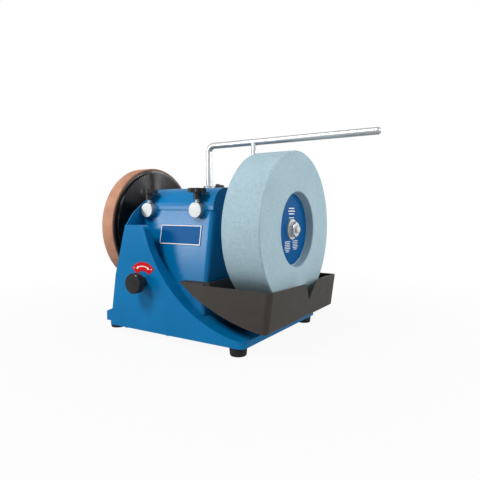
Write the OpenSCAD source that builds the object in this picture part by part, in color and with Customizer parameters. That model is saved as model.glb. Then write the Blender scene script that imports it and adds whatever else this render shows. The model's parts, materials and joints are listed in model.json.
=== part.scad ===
// Wet grinding sharpener: a slow water-cooled stone on one end of a spindle, a leather honing
// wheel on the other, a friction drive between them, and a bar that carries the sharpening jigs.
//
// Everything is drawn about the spindle: X runs along it, plus towards the stone, with zero at
// the stone's outer face; Y runs from front to back; Z is up. at_spindle() then moves each piece
// so that the model stands on the floor with its box centred on the origin.

/* [Grinding stone] */
// Diameter of a new stone
stone_d = 250; // [225:1:252]
// Width of the stone's rim
stone_w = 65; // [50:1:68]
// Diameter of the dished recess in the stone's outer side
recess_d = 121; // [90:1:130]
// Depth of that recess
recess_depth = 13; // [10.5:0.5:18]
// Thickness of the printed disc on the recess floor
label_t = 0.5; // [0.3:0.1:1]

/* [Spindle] */
// Diameter of the spindle
spindle_d = 12; // [10:0.5:14]
// Height of the spindle above the floor
spindle_h = 180.6; // [179:0.2:190]
// Thickness of the washers under the nuts
washer_t = 3; // [2:0.5:4]
// Diameter of the washers
washer_d = 33; // [28:1:36]
// Thickness of the spindle nuts
nut_t = 7; // [5:0.5:7.5]
// Width of the spindle nuts across their flats
nut_af = 22; // [19:1:24]
// Thickness of the flange behind the stone
flange_t = 8; // [5:0.5:12]
// Outer diameter of the bearing bushes
bush_d = 22; // [18:1:24]

/* [Honing wheel] */
// Diameter over the leather
honing_d = 221.6; // [205:0.2:230]
// Width of the honing wheel
honing_w = 29.4; // [25:0.2:34]
// Thickness of the leather band
leather_t = 3; // [2:0.5:4]
// Radius of the steel drive ring on the wheel's inner side
drive_ring_r = 102.4; // [100:0.2:103]
// Thickness of the drive ring
drive_ring_t = 5; // [4:0.5:7]
// Distance from the casing's upper left wall to the wheel
honing_gap = 50.2; // [46:0.2:60]

/* [Casing] */
// Width of the head at the top
head_w = 149; // [146:1:156]
// Distance from the stone's inner face to the head's right wall
head_gap = 42.5; // [40:0.5:50]
// Height of the head's top above the spindle
head_top = 68; // [66:0.5:70]
// Height of the crease where the head's shoulder starts, above the spindle
crease_z = 31; // [29:0.5:33]
// Radius of the shoulder
shoulder_r = 36; // [30:1:37]
// Backward lean of the head's front face, in degrees
face_lean = 9.63; // [8:0.1:11]
// Distance from the spindle to that face at spindle height
face_y0 = 88.3; // [86:0.1:90]
// Distance from the spindle to the head's back wall
head_back = 104; // [102:1:108]
// Half of the base's depth
base_half_d = 129; // [127:1:134]
// Radius of the sweep that cuts the front panel
sweep_r = 219; // [214:1:221]
// Height of the front panel's top edge, above the spindle
panel_top = 6.5; // [2:0.5:12]
// Thickness of the panel's free upper lip
lip_t = 15.6; // [12:0.2:20]
// Distance from the head's right wall to the base's right end
base_reach = 82.9; // [80:0.1:86]
// Distance that the casing spreads to the left at its foot
base_spread = 39.5; // [34:0.5:42]
// Wall thickness of the casing
wall = 3.5; // [2.5:0.1:4]
// Thickness of the plate at the base's right end
base_t = 10; // [9:0.5:11]

/* [Feet] */
// Diameter of a foot
foot_d = 27; // [20:1:30]
// Height of a foot
foot_h = 13; // [8:0.5:14]

/* [Universal support] */
// Diameter of the support bar
bar_d = 12; // [10:0.5:13]
// Height of the bar above the spindle
bar_z = 156; // [150:1:162]
// Distance of the bar behind the spindle
bar_y = 65; // [63:0.5:67]
// Distance between the two legs
leg_pitch = 104; // [102:0.5:105]
// Length of the bar from its bend to its free end
bar_l = 336; // [300:1:360]
// Length of a leg below the bar's axis
leg_l = 143; // [138:1:146]
// Radius of the bend between the bar and the left leg
bend_r = 12; // [8:1:20]

/* [Sleeves and clamps] */
// Diameter of the front sleeves
front_sleeve_d = 25; // [22:0.5:25.5]
// Diameter of the rear sleeves' collars
collar_d = 22.2; // [20:0.2:24]
// Diameter of the rear sleeves below their collars
rear_sleeve_d = 19; // [18:0.5:20]
// Height of the rear sleeves' tops above the spindle
collar_top = 78; // [77:0.5:80]
// Diameter of a star knob
star_d = 30; // [26:1:32]
// Thickness of a star knob's disc
star_t = 7; // [5:0.5:8]
// Diameter of the clamp screws
clamp_d = 6; // [5:0.5:8]

/* [Speed control] */
// Diameter of the speed knob
speed_d = 33; // [28:1:36]
// Distance that the speed knob stands out of the panel
speed_l = 25; // [20:0.5:28]
// Height of the speed knob below the spindle
speed_drop = 86; // [84:1:90]

/* [Water trough] */
// Thickness of the trough's walls
trough_wall = 3; // [2:0.2:3.5]
// Distance from the spindle down to the trough's front rim
rim_drop = 82; // [80:0.5:86]
// Distance from the spindle down to the trough's underside
trough_drop = 143.4; // [140:0.2:144.4]
// Distance that the trough's rim stands out past the stone
trough_out = 19; // [14:1:24]
// Gap between the trough's left wall and the head
trough_gap = 8.5; // [6:0.5:12]

/* [Motor] */
// Diameter of the motor
motor_d = 92; // [84:1:94]
// Length of the motor
motor_l = 76; // [70:1:78]
// Radius of the rubber roller on the motor shaft
roller_r = 8.4; // [7:0.1:10]
// Diameter of the motor shaft
rotor_d = 10; // [8:0.5:11]
// Angle of the motor below the horizontal, seen from the stone
motor_angle = 65; // [63:0.5:68]

/* [Hidden] */
$fn = 64;

blue = [0.16, 0.46, 0.68];
deep_blue = [0.0, 0.31, 0.58];
stone_grey = [0.70, 0.79, 0.82];
tan = [0.75, 0.56, 0.44];
black = [0.09, 0.09, 0.10];
warm_grey = [0.29, 0.27, 0.26];
steel = [0.72, 0.73, 0.75];
dark_steel = [0.40, 0.41, 0.43];
copper = [0.72, 0.42, 0.24];
red = [0.86, 0.16, 0.14];
bronze = [0.66, 0.51, 0.30];
green = [0.10, 0.36, 0.22];

// Clearances: a running fit, a drilled hole round a fixed piece, and a gap between bodies
run = 0.08;
hole = 0.1;
gap = 0.3;
// How far a rounding stands proud of the walls that it blends, so that it ends in a clean edge
proud = 0.04;

// Places along the spindle
head_right = -stone_w - head_gap;
head_left = head_right - head_w;
honing_in = head_left - honing_gap;
honing_out = honing_in - honing_w;
honing_thread_out = 3;
stone_thread_out = 4;
shaft_left = honing_out - washer_t - nut_t - honing_thread_out;
shaft_right = -recess_depth + washer_t + nut_t + stone_thread_out;
boss_out = 9;
boss_left = head_left - boss_out;
hub_in = honing_in + drive_ring_t;

// Heights, measured from the spindle
floor_z = -spindle_h;
base_z = floor_z + foot_h;
base_top = base_z + base_t;
plate_t = wall;
plate_top = base_z + plate_t;

// Casing
base_right = head_right + base_reach;
base_left = head_left - base_spread;
knee_z = -78;
knee_out = 25;
knee_r = 60;
sweep_past_base = 21.4;
sweep_bite = 1;
sweep_x = base_right + sweep_past_base;
sweep_z = base_top + sweep_r - sweep_bite;
ledge_back = -95;
hollow_back = ledge_back - wall;
pocket_top = -38;
pocket_floor = -92;
pocket_w = 90;
corner_r = 13;
front_y = -base_half_d;
lean = tan(face_lean);
fin_t = 2;
boss_wall = 6;
boss_r = bush_d / 2 + boss_wall;

// Support, sleeves and clamps
leg_inset = 31.5;
left_leg_x = head_left + leg_inset;
leg_xs = [left_leg_x, left_leg_x + leg_pitch];
front_sleeve_inset = 16.2;
front_left_x = head_left + front_sleeve_inset;
front_xs = [front_left_x, front_left_x + leg_pitch];
front_sleeve_out = 12;
front_sleeve_end = face_at(crease_z) - front_sleeve_out;
front_sleeve_l = 50;
front_clamp_setback = 7;
front_clamp_y = front_sleeve_end + front_clamp_setback;
rear_clamp_drop = 9;
rear_clamp_z = collar_top - rear_clamp_drop;
collar_l = 21;
rear_sleeve_bottom = -45;
plug_flange_t = 1.5;
plug_shank_l = 2.5;
bar_end = left_leg_x + bar_l;

// Speed control
speed_inset = 39.5;
speed_x = head_left + speed_inset;
speed_z = -speed_drop;
speed_front = front_y - speed_l;

// Motor and friction drive
motor_r = drive_ring_r + roller_r + gap;
motor_y = motor_r * cos(motor_angle);
motor_z = -motor_r * sin(motor_angle);
motor_x = (leg_xs[0] + leg_xs[1]) / 2;
cap_t = 6;
roller_l = 9;
roller_x = honing_in + gap;

// Trough
trough_left = head_right + trough_gap;
trough_back = 125;
trough_front = -126;
arm_reach = 37;
arm_left = head_right - arm_reach;
arm_back = -108;
arc_r = 300;
arc_x = 42;
arc_z = 156;
deep_front = -62;
trough_left_r = 8;
trough_right_r = 6;
trough_flare = 0.125;
trough_corner_r = 9;
arm_rim = -rim_drop + 2.5;
back_rim = -rim_drop - 4;
notch_y = 11;
notch_front = 18;
notch_back = 20;
notch_tip = 1.5;
notch_floor = back_rim - 27;
step_y = 50;
step_h = 2;

// Half of the whole model's box
mid_x = (shaft_left + bar_end) / 2;
mid_y = (speed_front + base_half_d) / 2;

// ---------- helpers ----------

module at_spindle() {
  translate([-mid_x, -mid_y, spindle_h]) children();
}

// Draws its outline, given in Y and Z, along X
module along_x(x0, x1) {
  translate([x0, 0, 0]) rotate([90, 0, 90]) linear_extrude(x1 - x0) children();
}

// Draws its outline, given in X and Z, along Y
module along_y(y0, y1) {
  translate([0, y1, 0]) rotate([90, 0, 0]) linear_extrude(y1 - y0) children();
}

module rod_x(x0, x1, r) {
  translate([x0, 0, 0]) rotate([0, 90, 0]) cylinder(h = x1 - x0, r = r);
}

module rod_y(y0, y1, r) {
  translate([0, y0, 0]) rotate([-90, 0, 0]) cylinder(h = y1 - y0, r = r);
}

module rod_z(z0, z1, r) {
  translate([0, 0, z0]) cylinder(h = z1 - z0, r = r);
}

module block(low, high) {
  translate(low) cube(high - low);
}

// An outline whose corners are rounded: each point is [x, y, radius]
function unit(v) = v / norm(v);
function xy(p) = [p[0], p[1]];
function corner(a, b, c, r) =
  let (
    u = unit(a - b),
    v = unit(c - b),
    half = acos(u * v) / 2,
    centre = b + unit(u + v) * r / sin(half),
    start = b + u * r / tan(half) - centre,
    end = b + v * r / tan(half) - centre,
    first = atan2(start[1], start[0]),
    turn = (atan2(end[1], end[0]) - first + 540) % 360 - 180,
    steps = max(2, ceil(abs(turn) / 9))
  )
  [for (i = [0 : steps]) centre + r * [cos(first + turn * i / steps), sin(first + turn * i / steps)]];
function rounded(points) =
  let (n = len(points))
  [for (i = [0 : n - 1])
    each points[i][2] == 0
      ? [xy(points[i])]
      : corner(xy(points[(i + n - 1) % n]), xy(points[i]), xy(points[(i + 1) % n]), points[i][2])];

// ---------- casing ----------

// The head's front face leans back as it rises
function face_at(z) = -face_y0 + z * lean;

head_side_r = 20;
crease_step = 1.2;
top_slope_y = 44;
top_slope_r = 12;
back_top_z = 30;
back_top_r = 16;

// Side view of the head; inset moves every edge inwards
module head_side(inset = 0) {
  polygon(rounded([
    [face_at(base_z) + inset, base_z - inset, 0],
    [face_at(crease_z) + inset, crease_z, 0],
    [face_at(crease_z) - crease_step + inset, crease_z, 0],
    [face_at(crease_z) - crease_step + inset, head_top - inset, shoulder_r - inset],
    [top_slope_y, head_top - inset, top_slope_r],
    [head_back - inset, back_top_z, back_top_r],
    [head_back - inset, base_z - inset, 0]
  ]));
}

// Front view of the casing's left side, open to the right: upright, then spreading to the base
module left_profile(inset = 0) {
  polygon(rounded([
    [0, base_z - inset, 0],
    [base_left + inset, base_z - inset, 0],
    [head_left - knee_out + inset, knee_z, knee_r - inset],
    [head_left + inset, panel_top, 0],
    [head_left + inset, head_top - inset, head_side_r],
    [0, head_top - inset, 0]
  ]));
}

module head(inset = 0) {
  intersection() {
    along_x(base_left - 1, head_right - inset) head_side(inset);
    along_y(-base_half_d, head_back) left_profile(inset);
  }
}

// Front view of the panel: a slanted left edge, a level top and the long sweep to the base
module panel_outline(inset = 0) {
  corner_x = sweep_x - sqrt(pow(sweep_r + corner_r, 2) - pow(sweep_z - panel_top + corner_r, 2));
  toward = unit([sweep_x - corner_x, sweep_z - panel_top + corner_r]);
  difference() {
    intersection() {
      left_profile(inset);
      polygon([
        [base_left, base_z - inset],
        [base_right - inset, base_z - inset],
        [base_right - inset, panel_top],
        [base_left, panel_top]
      ]);
    }
    translate([sweep_x, sweep_z]) circle(r = sweep_r + inset, $fn = 180);
    difference() {
      translate([corner_x, panel_top - corner_r + toward[1] * corner_r]) square([3 * corner_r, corner_r]);
      translate([corner_x, panel_top - corner_r]) circle(r = corner_r + proud);
    }
  }
}

// The front panel and its ledge, with the pocket behind the panel's upper lip
module front_panel() {
  difference() {
    along_y(front_y, ledge_back) panel_outline();
    along_x(head_left + fin_t, head_left + pocket_w) polygon([
      [front_y + lip_t, pocket_top],
      [face_at(pocket_floor), pocket_floor],
      [ledge_back + 1, pocket_floor],
      [ledge_back + 1, panel_top + 1],
      [front_y + lip_t, panel_top + 1]
    ]);
  }
}

// The hollow behind the panel, which opens into the head below the pocket
module panel_hollow() {
  intersection() {
    along_y(front_y, 0) panel_outline(wall);
    along_x(base_left, base_right) polygon([
      [front_y + wall, base_z - wall],
      [front_y + wall, pocket_top - wall],
      [front_y + lip_t - wall, pocket_top - wall],
      [face_at(pocket_floor) - wall, pocket_floor - wall],
      [hollow_back, pocket_floor - wall],
      [hollow_back, base_z - wall]
    ]);
  }
}

fin_foot = -40;
fin_front = [front_y, 4, 8];
fin_nose = [-112, 26, 40];
fin_shoulder = [-80, 48.5, 60];
fin_crown = [-25, 66.2, 0];
fin_back = -8;

// The left wall runs forward past the head's face as a fin over the panel
module fin() {
  along_x(head_left, head_left + fin_t) polygon(rounded([
    [face_at(0), fin_foot, 0],
    [front_y, fin_foot, 0],
    fin_front,
    fin_nose,
    fin_shoulder,
    fin_crown,
    [fin_back, head_top, 0],
    [fin_back, fin_foot, 0]
  ]));
}

module base(inset = 0) {
  block([base_left + inset, -base_half_d + inset, base_z - inset],
        [base_right - inset, base_half_d - inset, base_top - inset]);
}

// Rounds an upright edge of the base; side is 1 at the back and -1 at the front
base_corner_r = 9;
module base_corner_cut(side) {
  r = base_corner_r;
  tall = base_t + 2;
  translate([base_right - r, side * (base_half_d - r), base_z - 1]) difference() {
    translate([0, side < 0 ? -r - 1 : 0, 0]) cube([r + 1, r + 1, tall]);
    translate([0, 0, -1]) cylinder(h = tall + 2, r = r);
  }
}

// Rounds the upright right edge of the head's leaning face, up to the crease
head_edge_r = 8;
module head_edge_cut() {
  r = head_edge_r;
  tall = crease_z - base_top + 2 * r;
  intersection() {
    translate([head_right, face_at(0), 0]) rotate([-face_lean, 0, 0]) translate([-r, 0, 0]) difference() {
      translate([0, -1, base_top]) cube([r + 1, r + 1, tall]);
      translate([0, r, base_top - 1]) cylinder(h = tall + 2, r = r + proud);
    }
    block([head_right - r - 1, -base_half_d, base_z], [head_right + 2, 0, crease_z]);
  }
}

// A foot's lug on the left side, with a top that slopes down away from the casing
lug_l = 31.2;
lug_d = 34;
lug_y = 93.3;
lug_root = 8;
lug_end_h = 16.5;
lug_root_h = 33;
module lug(side) {
  translate([0, side * lug_y, 0]) along_y(-lug_d / 2, lug_d / 2) polygon([
    [base_left + lug_root, base_z],
    [base_left - lug_l, base_z],
    [base_left - lug_l, base_z + lug_end_h],
    [base_left + lug_root, base_z + lug_root_h]
  ]);
}

// The block that carries the trough
pad_front = -40;
pad_back = 100;
pad_left = trough_left + 4;
pad_right = base_right - 3;
module trough_pad(inset = 0) {
  block([pad_left + inset, pad_front + inset, base_z - inset],
        [pad_right - inset, pad_back - inset, -trough_drop - gap - inset]);
}

// The space that the trough needs, which reaches into the base only where the trough is deep
module trough_well() {
  block([trough_left - gap, deep_front - gap, -trough_drop - gap / 2],
        [base_right + 1, trough_back + gap, -rim_drop]);
}

vents = 8;
vent_w = 4;
vent_h = 44;
vent_pitch = 9;
vent_z = -60;
module rear_vents() {
  for (i = [0 : vents - 1]) translate([motor_x + vent_pitch * (i - (vents - 1) / 2), 0, vent_z])
    block([-vent_w / 2, head_back - wall - 1, 0], [vent_w / 2, head_back + 1, vent_h]);
}

screw_post_r = 5;
screw_post_l = 18;
screw_bite = 5;
bottom_screw_r = 2;
screw_head_r = 4;
screw_head_t = 2.4;
screw_slot_w = 1.2;
front_post_y = -base_half_d + wall + 4;
rear_post_y = base_half_d - wall - 7;
post_pitch = 92;
left_post_x = head_left - 6;
middle_post_x = left_post_x + post_pitch;
right_post_inset = 35;
right_post_x = base_right - right_post_inset;
right_front_post_y = -70;
bottom_screw_places = [
  [left_post_x, front_post_y], [middle_post_x, front_post_y],
  [left_post_x, rear_post_y], [middle_post_x, rear_post_y],
  [right_post_x, right_front_post_y], [right_post_x, rear_post_y]
];

module shell() {
  difference() {
    union() {
      head();
      front_panel();
      fin();
      base();
      lug(-1);
      lug(1);
      trough_pad();
    }
    base_corner_cut(-1);
    base_corner_cut(1);
    head_edge_cut();
    head(wall);
    panel_hollow();
    base(wall);
    trough_pad(wall);
  }
}

socket_wall = 3.2;
socket_bite = 0.7;
rear_socket_foot = -4;
rotor_hole_r = roller_r + 2;
module casing() {
  color(blue) at_spindle() difference() {
    union() {
      shell();
      // bearing bosses
      rod_x(head_right - bush_l, head_right, boss_r);
      rod_x(boss_left, boss_left + bush_l, boss_r);
      // sockets round the sleeves
      for (x = front_xs) translate([x, 0, crease_z])
        rod_y(face_at(crease_z) + socket_bite, front_sleeve_end + front_sleeve_l, front_sleeve_d / 2 + socket_wall);
      intersection() {
        for (x = leg_xs) translate([x, bar_y, 0])
          rod_z(rear_socket_foot, head_top, rear_sleeve_d / 2 + socket_wall);
        head();
      }
      // posts for the bottom plate's screws
      for (i = [0, 1]) translate([bottom_screw_places[i][0], bottom_screw_places[i][1], 0])
        rod_z(plate_top, plate_top + screw_post_l, screw_post_r);
      for (i = [2 : 5]) translate([bottom_screw_places[i][0], bottom_screw_places[i][1], 0])
        rod_z(plate_top, base_top - wall / 2, screw_post_r);
    }
    rod_x(boss_left - 1, head_right + 1, bush_d / 2 + hole);
    for (x = front_xs) translate([x, 0, crease_z])
      rod_y(front_sleeve_end - 1, front_sleeve_end + front_sleeve_l + 1, front_sleeve_d / 2 + hole);
    for (x = leg_xs) translate([x, bar_y, 0]) {
      rod_z(rear_sleeve_bottom, head_top + 1, rear_sleeve_d / 2 + hole);
      rod_z(collar_top - collar_l - gap, head_top + 1, collar_d / 2 + gap);
    }
    translate([0, motor_y, motor_z]) rod_x(base_left, motor_x - motor_l / 2, rotor_hole_r);
    translate([speed_x, 0, speed_z]) rod_y(front_y - 1, front_y + wall + 1, pot_neck_r + hole);
    translate([gland_x, 0, gland_z]) rod_y(head_back - wall - 1, head_back + 1, gland_r + hole);
    trough_well();
    rear_vents();
    for (p = bottom_screw_places) translate([p[0], p[1], 0])
      rod_z(base_z - 1, plate_top + screw_bite + 1, bottom_screw_r + hole);
  }
}

plate_corner_cut = 9;
module bottom_plate() {
  inset = wall + gap;
  color(dark_steel) at_spindle() difference() {
    block([base_left + inset, -base_half_d + inset, base_z],
          [base_right - inset, base_half_d - inset, plate_top]);
    for (p = bottom_screw_places) translate([p[0], p[1], 0])
      rod_z(base_z - 1, plate_top + 1, bottom_screw_r + hole);
    for (side = [-1, 1]) translate([base_right - inset, side * (base_half_d - inset), base_z - 1])
      rotate([0, 0, 45]) cube([plate_corner_cut, plate_corner_cut, plate_t * 4], center = true);
  }
}

module bottom_screws() {
  color(steel) at_spindle() for (p = bottom_screw_places) translate([p[0], p[1], 0]) {
    rod_z(base_z, plate_top + screw_bite, bottom_screw_r);
    difference() {
      rod_z(base_z - screw_head_t, base_z, screw_head_r);
      block([-screw_head_r, -screw_slot_w / 2, base_z - screw_head_t - 1],
            [screw_head_r, screw_slot_w / 2, base_z - screw_head_t / 2]);
    }
  }
}

// ---------- feet ----------

foot_edge = 0.5;
right_foot_x = base_right - foot_d / 2 - 3;
right_foot_y = base_half_d - foot_d / 2 - foot_edge;
left_foot_x = base_left - lug_l + foot_d / 2 + foot_edge;
left_foot_y = lug_y + lug_d / 2 - foot_d / 2 - foot_edge;
foot_rim = 2;
foot_round = 1.5;
foot_dish_r = 4;
foot_dish_h = 3;
foot_places = [
  [right_foot_x, -right_foot_y], [right_foot_x, right_foot_y],
  [left_foot_x, -left_foot_y], [left_foot_x, left_foot_y]
];

module feet() {
  color(black) at_spindle() for (p = foot_places) translate([p[0], p[1], floor_z])
    rotate_extrude() polygon([
      [0, foot_dish_h],
      [foot_dish_r, foot_dish_h],
      [foot_dish_r, 0],
      [foot_d / 2 - foot_rim, 0],
      [foot_d / 2 - foot_rim / 2, foot_round],
      [foot_d / 2, foot_h],
      [0, foot_h]
    ]);
}

// ---------- plates on the front ----------

front_plate_w = 86;
front_plate_h = 33;
front_plate_t = 1;
front_plate_inset = 86.5;
front_plate_x = head_left + front_plate_inset;
front_plate_z = -9.5;
module front_plate() {
  color(deep_blue) at_spindle()
    translate([front_plate_x, face_at(front_plate_z), front_plate_z]) rotate([-face_lean, 0, 0])
      block([-front_plate_w / 2, -front_plate_t, -front_plate_h / 2],
            [front_plate_w / 2, 0, front_plate_h / 2]);
}

// A sector of a ring over the speed knob
dial_in_r = 18;
dial_out_r = 32.5;
dial_half_angle = 48;
module dial_label() {
  reach = 2 * dial_out_r;
  color(red) at_spindle() translate([speed_x, front_y, speed_z]) along_y(-label_t, 0) difference() {
    intersection() {
      circle(r = dial_out_r);
      polygon([
        [0, 0],
        [-reach * sin(dial_half_angle), reach * cos(dial_half_angle)],
        [reach * sin(dial_half_angle), reach * cos(dial_half_angle)]
      ]);
    }
    circle(r = dial_in_r);
  }
}

// ---------- sleeves, clamps and support ----------

module front_sleeves() {
  color(steel) at_spindle() for (x = front_xs) translate([x, 0, crease_z]) difference() {
    rod_y(front_sleeve_end + plug_flange_t, front_sleeve_end + front_sleeve_l, front_sleeve_d / 2);
    rod_y(front_sleeve_end - 1, front_sleeve_end + front_sleeve_l + 1, bar_d / 2 + run);
    translate([0, front_clamp_y, 0]) rod_z(0, front_sleeve_d, clamp_d / 2 + run);
  }
}

module sleeve_plugs() {
  color(steel) at_spindle() for (x = front_xs) translate([x, 0, crease_z]) {
    translate([0, front_sleeve_end + plug_flange_t, 0]) rotate([90, 0, 0]) rotate_extrude() polygon([
      [0, 0],
      [front_sleeve_d / 2, 0],
      [front_sleeve_d / 2, plug_flange_t - 0.7],
      [front_sleeve_d / 2 - 0.7, plug_flange_t],
      [0, plug_flange_t]
    ]);
    rod_y(front_sleeve_end + plug_flange_t, front_sleeve_end + plug_flange_t + plug_shank_l, bar_d / 2);
  }
}

module rear_sleeves() {
  color(steel) at_spindle() for (x = leg_xs) translate([x, bar_y, 0]) difference() {
    rotate_extrude() polygon([
      [bar_d / 2 + run, rear_sleeve_bottom],
      [rear_sleeve_d / 2, rear_sleeve_bottom],
      [rear_sleeve_d / 2, collar_top - collar_l],
      [collar_d / 2, collar_top - collar_l],
      [collar_d / 2, collar_top - 1],
      [collar_d / 2 - 1, collar_top],
      [bar_d / 2 + run, collar_top]
    ]);
    translate([0, 0, rear_clamp_z]) rod_y(0, collar_d, clamp_d / 2 + run);
  }
}

// A star knob on the Z axis, with its hub's end at zero
hub_l = 11;
star_valley = 2.6;
lobes = 7;
hub_r = 6;
lobe_r = 4.4;
module star_outline() {
  circle(r = star_d / 2 - star_valley);
  for (i = [0 : lobes - 1]) rotate([0, 0, i * 360 / lobes]) translate([star_d / 2 - lobe_r, 0])
    circle(r = lobe_r);
}

module star_knob() {
  difference() {
    union() {
      rod_z(0, hub_l + 1, hub_r);
      translate([0, 0, hub_l]) linear_extrude(star_t) star_outline();
    }
    rod_z(-1, screw_in_knob, clamp_d / 2);
  }
}

// Where the hubs end, and how far the screws run into the knobs
front_hub_z = crease_z + front_sleeve_d / 2 + 4.5;
rear_hub_y = bar_y + collar_d / 2 + 8;
screw_in_knob = hub_l + 2;
module front_knob(x) {
  color(black) at_spindle() translate([x, front_clamp_y, front_hub_z]) star_knob();
}

module front_screw(x) {
  tip = crease_z + bar_d / 2 + gap;
  color(steel) at_spindle() translate([x, front_clamp_y, 0])
    rod_z(tip, front_hub_z + screw_in_knob, clamp_d / 2);
}

module rear_knob(x) {
  color(black) at_spindle() translate([x, rear_hub_y, rear_clamp_z])
    rotate([-90, 0, 0]) star_knob();
}

module rear_screw(x) {
  tip = bar_y + bar_d / 2 + gap;
  color(steel) at_spindle() translate([x, 0, rear_clamp_z])
    rod_y(tip, rear_hub_y + screw_in_knob, clamp_d / 2);
}

module front_left_knob() { front_knob(front_xs[0]); }
module front_left_screw() { front_screw(front_xs[0]); }
module front_right_knob() { front_knob(front_xs[1]); }
module front_right_screw() { front_screw(front_xs[1]); }
module rear_left_knob() { rear_knob(leg_xs[0]); }
module rear_left_screw() { rear_screw(leg_xs[0]); }
module rear_right_knob() { rear_knob(leg_xs[1]); }
module rear_right_screw() { rear_screw(leg_xs[1]); }

module support_bar() {
  r = bar_d / 2;
  color(steel) at_spindle() translate([0, bar_y, bar_z]) {
    rod_x(leg_xs[0] + bend_r, bar_end - r, r);
    translate([bar_end - r, 0, 0]) sphere(r);
    translate([leg_xs[0] + bend_r, 0, -bend_r]) rotate([90, 0, 0]) rotate([0, 0, 90])
      rotate_extrude(angle = 90) translate([bend_r, 0]) circle(r);
    translate([leg_xs[0], 0, 0]) rod_z(-leg_l, -bend_r, r);
    translate([leg_xs[1], 0, 0]) rod_z(-leg_l, 0, r);
  }
}

// ---------- spindle, stone and honing wheel ----------

module spindle_shaft() {
  r = spindle_d / 2;
  color(steel) at_spindle() {
    rod_x(shaft_left + 1, shaft_right - 1, r);
    translate([shaft_right - 1, 0, 0]) rotate([0, 90, 0]) cylinder(h = 1, r1 = r, r2 = r - 1);
    translate([shaft_left, 0, 0]) rotate([0, 90, 0]) cylinder(h = 1, r1 = r - 1, r2 = r);
  }
}

bush_l = 24;
bush_flange_t = 2.5;
bush_flange_w = 3;
module spindle_bushes() {
  color(bronze) at_spindle() difference() {
    union() {
      rod_x(head_right - bush_l, head_right, bush_d / 2);
      rod_x(head_right, head_right + bush_flange_t, bush_d / 2 + bush_flange_w);
      rod_x(boss_left, boss_left + bush_l, bush_d / 2);
      rod_x(boss_left - bush_flange_t, boss_left, bush_d / 2 + bush_flange_w);
    }
    rod_x(shaft_left, shaft_right, spindle_d / 2 + run);
  }
}

flange_r = 30;
sleeve_r = 10;
bush_play = bush_flange_t + 0.5;
module stone_flange() {
  color(dark_steel) at_spindle() difference() {
    union() {
      rod_x(-stone_w - flange_t, -stone_w, flange_r);
      rod_x(head_right + bush_play, -stone_w - flange_t, sleeve_r);
    }
    rod_x(shaft_left, 0, spindle_d / 2);
  }
}

module spindle_spacer() {
  color(dark_steel) at_spindle() difference() {
    rod_x(hub_in, boss_left - bush_play, sleeve_r);
    rod_x(shaft_left, 0, spindle_d / 2);
  }
}

stone_edge = 1.5;
recess_edge = 1;
module stone() {
  r = stone_d / 2;
  edge = stone_edge;
  color(stone_grey) at_spindle() rotate([0, 90, 0]) rotate_extrude($fn = 128) polygon([
    [spindle_d / 2, -stone_w],
    [r - edge, -stone_w],
    [r, -stone_w + edge],
    [r, -edge],
    [r - edge, 0],
    [recess_d / 2 + recess_edge, 0],
    [recess_d / 2, -recess_edge],
    [recess_d / 2 - recess_edge, -recess_depth],
    [spindle_d / 2, -recess_depth]
  ]);
}

label_rim = 2.5;
label_bore = 0.5;
module stone_label() {
  color(deep_blue) at_spindle() difference() {
    rod_x(-recess_depth, -recess_depth + label_t, recess_d / 2 - label_rim);
    rod_x(-recess_depth - 1, 0, washer_d / 2 + label_bore);
  }
}

module spindle_washers() {
  color(steel) at_spindle() difference() {
    union() {
      rod_x(-recess_depth, -recess_depth + washer_t, washer_d / 2);
      rod_x(honing_out - washer_t, honing_out, washer_d / 2);
    }
    rod_x(shaft_left - 1, shaft_right + 1, spindle_d / 2);
  }
}

// A nut on the X axis, chamfered on the side that faces dir
nut_chamfer = 1.2;
module nut(x0, dir) {
  corner_d = nut_af / cos(30);
  difference() {
    intersection() {
      translate([x0, 0, 0]) rotate([0, 90, 0]) cylinder(h = nut_t, d = corner_d, $fn = 6);
      translate([x0 + nut_t / 2, 0, 0]) rotate([0, 90 * dir, 0])
        translate([0, 0, -nut_t / 2]) rotate_extrude() polygon([
          [0, 0],
          [corner_d / 2, 0],
          [corner_d / 2, nut_t - nut_chamfer],
          [nut_af / 2, nut_t],
          [0, nut_t]
        ]);
    }
    rod_x(x0 - 1, x0 + nut_t + 1, spindle_d / 2);
  }
}

module spindle_nuts() {
  color(steel) at_spindle() {
    nut(-recess_depth + washer_t, 1);
    nut(honing_out - washer_t - nut_t, -1);
  }
}

rim_r = honing_d / 2 - leather_t;
rim_w = 9;
rim_edge = 0.8;
wheel_hub_r = 20;
dish_depth = 12;
dish_draft = 2;
module honing_wheel() {
  color(black) at_spindle() rotate([0, 90, 0]) rotate_extrude($fn = 128) polygon([
    [spindle_d / 2, honing_out],
    [wheel_hub_r, honing_out],
    [wheel_hub_r + dish_draft, honing_out + dish_depth],
    [rim_r - rim_w - dish_draft, honing_out + dish_depth],
    [rim_r - rim_w, honing_out],
    [rim_r - rim_edge, honing_out],
    [rim_r, honing_out + rim_edge],
    [rim_r, honing_in - rim_edge],
    [rim_r - rim_edge, honing_in],
    [wheel_hub_r, honing_in],
    [wheel_hub_r, hub_in],
    [spindle_d / 2, hub_in]
  ]);
}

leather_edge = 1;
module leather_band() {
  color(tan) at_spindle() rotate([0, 90, 0]) rotate_extrude($fn = 128) polygon([
    [rim_r, honing_out + rim_edge],
    [honing_d / 2 - leather_edge, honing_out + rim_edge],
    [honing_d / 2, honing_out + rim_edge + leather_edge],
    [honing_d / 2, honing_in - rim_edge - leather_edge],
    [honing_d / 2 - leather_edge, honing_in - rim_edge],
    [rim_r, honing_in - rim_edge]
  ]);
}

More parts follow.
